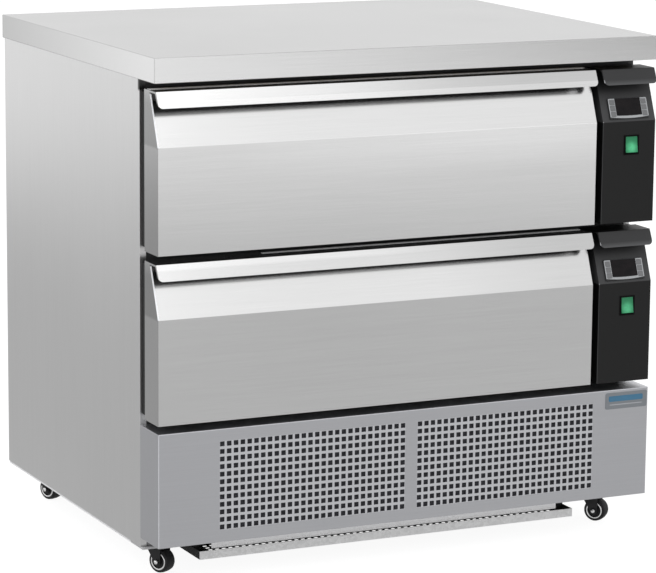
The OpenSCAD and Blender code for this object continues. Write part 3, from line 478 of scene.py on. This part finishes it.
LOOK = {
    "worktop": "worktop", "worktop_core": "board", "left_side_panel": "panel",
    "right_side_panel": "panel", "rear_panel": "panel", "insulated_carcass": "foam",
    "chamber_liners": "inner", "face_frame": "black_frame", "base_chassis": "chassis",
    "plinth_panel": "plinth", "compressor_tray": "tray", "badge_plate": "badge",
    "air_filter": "filter", "control_panels": "black_panel", "control_box": "zinc_box",
    "controller_housings": "housing", "display_lenses": "window", "switch_frames": "bezel",
    "slide_channels": "slide", "compressor": "compressor", "condenser": "coil",
    "condenser_fan": "aluminium", "evaporators": "aluminium", "refrigerant_pipes": "copper",
    "cable_gland": "black_plastic", "caster_plates": "zinc_box",
}
for row in ROWS:
    LOOK.update({
        row + "_rocker": row + "_lens", row + "_drawer_skin": row + "_front",
        row + "_drawer_core": "inner", row + "_drawer_gasket": "gasket",
        row + "_pan_frame": "inner", row + "_slide_middle": "slide",
        row + "_evaporator_fan": "black_plastic",
    })
    LOOK.update({f"{row}_key_{i}": "key" for i in range(1, 7)})
for corner in CORNERS:
    LOOK["fork_" + corner] = "caster"
    LOOK["wheel_" + corner] = "tyre"

# Width of the rounded edges, in millimetres
EDGES = {
    "worktop": 1.0, "left_side_panel": 0.5, "right_side_panel": 0.5, "rear_panel": 0.4,
    "upper_drawer_skin": 0.7, "lower_drawer_skin": 0.7, "control_panels": 0.6,
    "plinth_panel": 0.35, "compressor_tray": 0.35, "badge_plate": 0.3,
    "controller_housings": 0.6, "switch_frames": 0.5, "upper_rocker": 0.6, "lower_rocker": 0.6,
    "display_lenses": 0.15, "face_frame": 0.5, "base_chassis": 0.6, "upper_drawer_gasket": 1.5,
    "lower_drawer_gasket": 1.5, "control_box": 0.8, "caster_plates": 0.4,
}
EDGES.update({f"{row}_key_{i}": 0.45 for row in ROWS for i in range(1, 7)})
EDGES.update({f"fork_{corner}": 0.4 for corner in CORNERS})


def round_edges(obj, width):
    weld = obj.modifiers.new("join", "WELD")
    weld.merge_threshold = 1e-5
    bevel = obj.modifiers.new("edges", "BEVEL")
    bevel.width = width * MM
    bevel.segments = 2
    bevel.limit_method = "ANGLE"
    bevel.angle_limit = math.radians(35)
    bevel.use_clamp_overlap = True
    flat = obj.modifiers.new("shading", "WEIGHTED_NORMAL")
    flat.keep_sharp = True


for name, obj in nodes.items():
    obj.data.materials.clear()
    obj.data.materials.append(FINISH[LOOK[name]])
    if name in EDGES:
        round_edges(obj, EDGES[name])


# ---- Detail pieces ----


def place(obj, body, look, smooth=False):
    obj.data.materials.append(FINISH[look])
    if smooth:
        obj.data.polygons.foreach_set("use_smooth", [True] * len(obj.data.polygons))
    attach(obj, body)


def new_object(name, data):
    obj = bpy.data.objects.new(name, data)
    bpy.context.scene.collection.objects.link(obj)
    return obj


def plate(name, outlines, thickness, bevel, matrix):
    """Flat plate with rounded rims: the first outline is its edge and the others are holes.
    Points are in millimetres in the plate's plane; its back lies on the plane."""
    c = bpy.data.curves.new(name, "CURVE")
    c.dimensions = "2D"
    c.fill_mode = "BOTH"
    c.extrude = (thickness / 2 - bevel) * MM
    c.bevel_depth = bevel * MM
    c.bevel_resolution = 2
    c.offset = -bevel * MM
    for points in outlines:
        s = c.splines.new("POLY")
        s.points.add(len(points) - 1)
        for p, (x, y) in zip(s.points, points):
            p.co = (x * MM, y * MM, 0, 1)
        s.use_cyclic_u = True
    temp = new_object(name + "_outline", c)
    bpy.context.view_layer.update()
    graph = bpy.context.evaluated_depsgraph_get()
    mesh = bpy.data.meshes.new_from_object(temp.evaluated_get(graph))
    bpy.data.objects.remove(temp)
    mesh.materials.clear()
    mesh.transform(matrix @ Matrix.Translation((0, 0, thickness / 2 * MM)))
    mesh.name = name
    return new_object(name, mesh)


def rounded(cx, cy, w, h, r, steps=5):
    """Outline of a rounded rectangle in millimetres."""
    points = []
    for k, (sx, sy) in enumerate(((1, 1), (-1, 1), (-1, -1), (1, -1))):
        mx, my = cx + sx * (w / 2 - r), cy + sy * (h / 2 - r)
        for i in range(steps + 1):
            a = math.radians(90 * k + 90 * i / steps)
            points.append((mx + r * math.cos(a), my + r * math.sin(a)))
    return points


def lathe(name, profile, matrix, steps=40):
    """Solid of revolution about local Z; profile is (radius, height) in millimetres, closed."""
    bm = bmesh.new()
    turns = [2 * math.pi * i / steps for i in range(steps)]
    rings = []
    for r, z in profile:
        if r < 1e-6:
            rings.append([bm.verts.new((0, 0, z * MM))])
        else:
            rings.append([bm.verts.new((r * MM * math.cos(a), r * MM * math.sin(a), z * MM))
                          for a in turns])
    for a, b in zip(rings, rings[1:] + rings[:1]):
        for i in range(steps):
            j = (i + 1) % steps
            quad = [a[i % len(a)], a[j % len(a)], b[j % len(b)], b[i % len(b)]]
            corners = list(dict.fromkeys(quad))
            if len(corners) > 2:
                bm.faces.new(corners)
    bmesh.ops.recalc_face_normals(bm, faces=bm.faces)
    bm.transform(matrix)
    mesh = bpy.data.meshes.new(name)
    bm.to_mesh(mesh)
    bm.free()
    return new_object(name, mesh)


def on_slope(x, z0, up, out=0.0):
    """Local X to the right, local Y up the slope, local Z outward."""
    at = Vector((x, FACE_Y + up * math.sin(SLOPE), z0 + FOLD_Z + up * math.cos(SLOPE)))
    turn = Matrix.Rotation(math.pi / 2 - SLOPE, 4, "X")
    return Matrix.Translation(at) @ turn @ Matrix.Translation((0, 0, out))


def bow(half, spots, level, depth):
    """Points of an arc that sags by depth in its middle; spots go from -1 to 1."""
    return [(half * s, level - depth * (1 - s * s)) for s in spots]


# Silver fascia of each controller, in millimetres from its middle: a column of keys on each side
# of the window and a bowed bar below
HALF_W, HALF_H, CHAMFER, FOOT = 36.6, 17.1, 1.2, -14.4
WINDOW_HALF_W, WINDOW_FOOT = 24.4, -12.2
fascia_edge = [(-HALF_W + CHAMFER, HALF_H), (-HALF_W, HALF_H - CHAMFER)]
fascia_edge += bow(HALF_W, [i / 12 - 1 for i in range(25)], FOOT, 2.7)
fascia_edge += [(HALF_W, HALF_H - CHAMFER), (HALF_W - CHAMFER, HALF_H)]
fascia_edge += [(WINDOW_HALF_W, HALF_H), (WINDOW_HALF_W, WINDOW_FOOT + 0.8)]
fascia_edge += bow(WINDOW_HALF_W, [0.97 - i * 0.097 for i in range(21)], WINDOW_FOOT, 0.7)
fascia_edge += [(-WINDOW_HALF_W, WINDOW_FOOT + 0.8), (-WINDOW_HALF_W, HALF_H)]
key_holes = [rounded(x, y, 9.5, 8.9, 1.0) for x in (-30, 30) for y in (10.5, 0.5, -9.5)]
for row, z0 in ROWS.items():
    at = on_slope(CONTROLLER_X, z0, CONTROLLER_UP, 3 * MM)
    fascia = plate(row + "_controller_fascia", [fascia_edge] + key_holes, 0.55, 0.15, at)
    place(fascia, "cabinet", "fascia")

# Badge: a bare plate with a plain coloured bar and a thin line under it
badge_low, badge_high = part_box("badge_plate")
badge_mid = (badge_low + badge_high) / 2
badge_mid.y = badge_low.y
FACING = Matrix.Rotation(math.pi / 2, 4, "X")
for name, look, z, width, height in (("bar", "blue", 3.6, 66, 9.5),
                                     ("line", "pale", -6.6, 62, 1.8)):
    outline = rounded(-1, z, width, height, height * 0.25)
    at = Matrix.Translation(badge_mid) @ FACING
    place(plate("badge_" + name, [outline], 0.3, 0.08, at), "cabinet", look)

# A pale, faintly glowing strip down the left of each sloping drawer face: a painted highlight on
# its folded edge
for row, z0 in ROWS.items():
    at = on_slope(FRONT_FOLD_X * MM, z0, 0)
    fold = plate(row + "_fold_edge", [rounded(0, 44, 2.2, 87, 0.4)], 0.5, 0.12, at)
    place(fold, row + "_drawer", "fold_highlight")

# A pale, faintly glowing strip along each drawer's top flange, seen in the gap above it: a
# painted highlight
STRIP_Y = -306
for row, x, width, depth in (("upper", -56, 776, 10), ("lower", 41, 582, 7)):
    at = Matrix.Translation((0, 0, ROWS[row] + FLANGE_Z))
    strip = plate(row + "_flange_highlight", [rounded(x, STRIP_Y, width, depth, 0.5)], 0.6, 0.15, at)
    place(strip, row + "_drawer", "strip")

# Pale strips down the plinth's left corner and along its top: painted highlights on its folded
# edges
for name, x, z, width, height in (("side", PLINTH_FOLD_X, 162, 1.6, 184),
                                  ("top", 0, 254.2, 892, 1.5)):
    at = Matrix.Translation((x * MM, FACE_Y, z * MM)) @ FACING
    fold = plate("plinth_fold_" + name, [rounded(0, 0, width, height, 0.5)], 0.4, 0.12, at)
    place(fold, "cabinet", "plinth_highlight")

# Casters: a bright ring on both faces of each wheel and a cap nut on both ends of each axle
HEADING = {"front_left": -60, "front_right": -51, "rear_left": -66, "rear_right": -51}
RING = [(11.9, 8.9), (11.9, 11.0), (12.5, 11.55), (13.9, 11.55), (14.5, 11.1), (14.5, 10.9)]
CAP = [(0, 0), (3.6, 0), (3.6, 0.5), (3.1, 1.3), (2.2, 1.9), (1.1, 2.3), (0, 2.4)]
AXLE_END = Matrix.Translation((0, 0, 16.5 * MM))
for corner in CORNERS:
    low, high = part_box("wheel_" + corner)
    heading = Matrix.Rotation(math.radians(HEADING[corner]), 4, "Z")
    axle = Matrix.Translation((low + high) / 2) @ heading
    for side, s in (("outer", 1), ("inner", -1)):
        turn = axle @ Matrix.Rotation(-s * math.pi / 2, 4, "X")
        ring = lathe(f"ring_{corner}_{side}", RING, turn)
        place(ring, "wheel_" + corner, "wheel_ring", True)
        cap = lathe(f"cap_{corner}_{side}", CAP, turn @ AXLE_END, 24)
        place(cap, "fork_" + corner, "bright", True)

# Hexagon-head screws around the rear panel
SCREW = [(0, 0), (6.2, 0), (6.2, 0.4), (4.6, 0.9), (4.2, 1.0), (4.2, 2.0), (3.7, 2.4), (0, 2.4)]
spots = [(x, z) for x in (-430, -215, 0, 215, 430) for z in (66, 800)]
spots += [(x, z) for x in (-436, 436) for z in (250, 430, 610)]
FACING_BACK = Matrix.Rotation(-math.pi / 2, 4, "X")
for k, (x, z) in enumerate(spots):
    at = Matrix.Translation((x * MM, BACK_Y, z * MM)) @ FACING_BACK
    place(lathe(f"rear_screw_{k:02d}", SCREW, at, 6), "cabinet", "bright")


# ---- Studio ----
# Curves below are (position, value) stops. Bearings are in radians from the front towards the
# right, distances in metres from the object's middle

# Brightness of the floor in reflections by distance, less a dimming of its far part by bearing
FLOOR_LEVEL = [(0.0, 0.54), (2.7, 0.525), (3.5, 0.58), (4.1, 0.71), (4.7, 0.85), (5.2, 0.97),
               (5.6, 1.0), (14.0, 1.0)]
FAR_PART = [(0.0, 0.0), (6.2, 0.0), (7.0, 1.0), (14.0, 1.0)]
FLOOR_SIDE = [(-3.15, 0.0), (0.27, 0.0), (0.45, 0.46), (0.60, 0.88), (1.2, 0.7), (1.6, 0.0),
              (3.15, 0.0)]

# Shade in reflections of the background: by bearing, and by the sine of the height
WALL_SIDE = [(-3.15, 0.0), (0.38, 0.0), (0.54, 1.0), (1.3, 1.0), (1.9, 0.0), (3.15, 0.0)]
WALL_HEIGHT = [(-1.0, 0.62), (0.12, 0.62), (0.40, 0.07), (0.56, 0.05), (0.64, 0.34),
               (0.72, 0.36), (1.0, 0.36)]


def math_node(tree, kind, a, b=0):
    n = tree.nodes.new("ShaderNodeMath")
    n.operation = kind
    for i, v in enumerate((a, b)):
        if isinstance(v, (int, float)):
            n.inputs[i].default_value = v
        else:
            tree.links.new(v, n.inputs[i])
    return n.outputs[0]


def ramp(tree, source, stops):
    """Piecewise linear curve over source, from a list of (position, value)."""
    lo, hi = stops[0][0], stops[-1][0]
    m = tree.nodes.new("ShaderNodeMapRange")
    m.inputs[1].default_value = lo
    m.inputs[2].default_value = hi
    tree.links.new(source, m.inputs[0])
    r = tree.nodes.new("ShaderNodeValToRGB")
    tree.links.new(m.outputs[0], r.inputs[0])
    while len(r.color_ramp.elements) < len(stops):
        r.color_ramp.elements.new(0.5)
    for e, (p, v) in zip(r.color_ramp.elements, stops):
        e.position = (p - lo) / (hi - lo)
        e.color = (v, v, v, 1)
    return r.outputs[0]


def split_coords(tree, kind):
    """X, Y and Z of a texture coordinate."""
    coords = tree.nodes.new("ShaderNodeTexCoord")
    split = tree.nodes.new("ShaderNodeSeparateXYZ")
    tree.links.new(coords.outputs[kind], split.inputs[0])
    return split.outputs


def bearing_of(tree, x, y):
    return math_node(tree, "ARCTAN2", x, math_node(tree, "MULTIPLY", y, -1))


def coloured(tree, kind, color, strength=None):
    n = tree.nodes.new(kind)
    n.inputs[0].default_value = (*color, 1)
    if strength is not None:
        n.inputs[1].default_value = strength
    return n


def blend_shaders(tree, factor, first, second):
    n = tree.nodes.new("ShaderNodeMixShader")
    tree.links.new(factor, n.inputs[0])
    tree.links.new(first.outputs[0], n.inputs[1])
    tree.links.new(second.outputs[0], n.inputs[2])
    return n


def make_world():
    """White to the camera and in reflections, where a soft shade stands to the front right;
    a pale even sky for soft light."""
    world = bpy.data.worlds.new("studio")
    bpy.context.scene.world = world
    world.use_nodes = True
    t = world.node_tree
    t.nodes.clear()
    out = t.nodes.new("ShaderNodeOutputWorld")
    path = t.nodes.new("ShaderNodeLightPath").outputs
    shown = math_node(t, "MAXIMUM", path["Is Camera Ray"], path["Is Glossy Ray"])
    shown = math_node(t, "MAXIMUM", shown, path["Is Transmission Ray"])
    x, y, z = split_coords(t, "Generated")
    side = ramp(t, bearing_of(t, x, y), WALL_SIDE)
    shade = math_node(t, "MULTIPLY", side, ramp(t, z, WALL_HEIGHT))
    shade = math_node(t, "MULTIPLY", shade, path["Is Glossy Ray"])
    sky = coloured(t, "ShaderNodeBackground", (0.97, 0.985, 1.0), 0.85)
    white = t.nodes.new("ShaderNodeBackground")
    t.links.new(math_node(t, "SUBTRACT", 1.0, shade), white.inputs[0])
    t.links.new(blend_shaders(t, shown, sky, white).outputs[0], out.inputs[0])


def make_floor():
    """Pale floor. The camera sees it white with the object's soft shadow; reflections see it
    grey near the object and white at a distance."""
    bpy.ops.mesh.primitive_grid_add(x_subdivisions=2, y_subdivisions=2, size=120,
                                    location=(0, 0, 0))
    floor = bpy.context.active_object
    floor.name = "floor"
    floor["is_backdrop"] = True
    mat = bpy.data.materials.new("floor")
    mat.use_nodes = True
    t = mat.node_tree
    t.nodes.clear()
    out = t.nodes.new("ShaderNodeOutputMaterial")
    path = t.nodes.new("ShaderNodeLightPath").outputs
    pale = coloured(t, "ShaderNodeBsdfDiffuse", (0.74, 0.74, 0.75))
    near = coloured(t, "ShaderNodeBsdfDiffuse", (0.20, 0.20, 0.20))
    white = coloured(t, "ShaderNodeEmission", (1, 1, 1), 0.93)
    seen = t.nodes.new("ShaderNodeAddShader")
    t.links.new(near.outputs[0], seen.inputs[0])
    t.links.new(white.outputs[0], seen.inputs[1])
    x, y, _ = split_coords(t, "Object")
    squares = [math_node(t, "MULTIPLY", v, v) for v in (x, y)]
    far = math_node(t, "SQRT", math_node(t, "ADD", *squares))
    side = ramp(t, bearing_of(t, x, y), FLOOR_SIDE)
    dimming = math_node(t, "MULTIPLY", ramp(t, far, FAR_PART), side)
    shine = t.nodes.new("ShaderNodeEmission")
    level = math_node(t, "SUBTRACT", ramp(t, far, FLOOR_LEVEL), dimming)
    t.links.new(level, shine.inputs[0])
    lit = blend_shaders(t, path["Is Glossy Ray"], pale, shine)
    direct = math_node(t, "MAXIMUM", path["Is Camera Ray"], path["Is Transmission Ray"])
    t.links.new(blend_shaders(t, direct, lit, seen).outputs[0], out.inputs[0])
    floor.data.materials.append(mat)


def soft_box(name, bearing, height, size, power):
    """Area lamp aimed at the object's middle; bearing from the front towards the right, and
    height, in degrees."""
    distance, aim = 6.0, Vector((0, 0, 0.45))
    lamp = bpy.data.lights.new(name, "AREA")
    lamp.shape = "RECTANGLE"
    lamp.size, lamp.size_y = size
    lamp.energy = power
    obj = new_object(name, lamp)
    a, e = math.radians(bearing), math.radians(height)
    at = Vector((math.sin(a) * math.cos(e), -math.cos(a) * math.cos(e), math.sin(e))) * distance
    obj.location = at + aim
    obj.rotation_euler = (-at).to_track_quat("-Z", "Y").to_euler()


make_world()
make_floor()
soft_box("key", -8, 38, (4.6, 2.0), 27)
soft_box("lip", 16, 43, (2.4, 0.8), 3.0)
soft_box("fill", -60, 30, (3.0, 2.5), 18)

# ---- Camera: fitted to the corners of the photographed object ----

CAMERA_AT = (-2.274, -4.831, 1.417)
BEARING, PITCH, ROLL = math.radians(25.33), math.radians(-10.80), math.radians(0.50)
FOCAL_PX, IMAGE_W, SENSOR = 3154, 656, 36
camera_data = bpy.data.cameras.new("camera")
camera_data.sensor_width = SENSOR
camera_data.lens = FOCAL_PX * SENSOR / IMAGE_W
camera_data.clip_start, camera_data.clip_end = 0.1, 200
camera = new_object("camera", camera_data)
ahead = Vector((math.sin(BEARING) * math.cos(PITCH), math.cos(BEARING) * math.cos(PITCH),
                math.sin(PITCH)))
level_right = Vector((math.cos(BEARING), -math.sin(BEARING), 0))
level_up = level_right.cross(ahead)
right = math.cos(ROLL) * level_right + math.sin(ROLL) * level_up
up = math.cos(ROLL) * level_up - math.sin(ROLL) * level_right
basis = Matrix((right, up, -ahead)).transposed().to_4x4()
camera.matrix_world = Matrix.Translation(CAMERA_AT) @ basis
bpy.context.scene.camera = camera
bpy.context.scene.view_settings.view_transform = "Standard"

low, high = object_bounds()
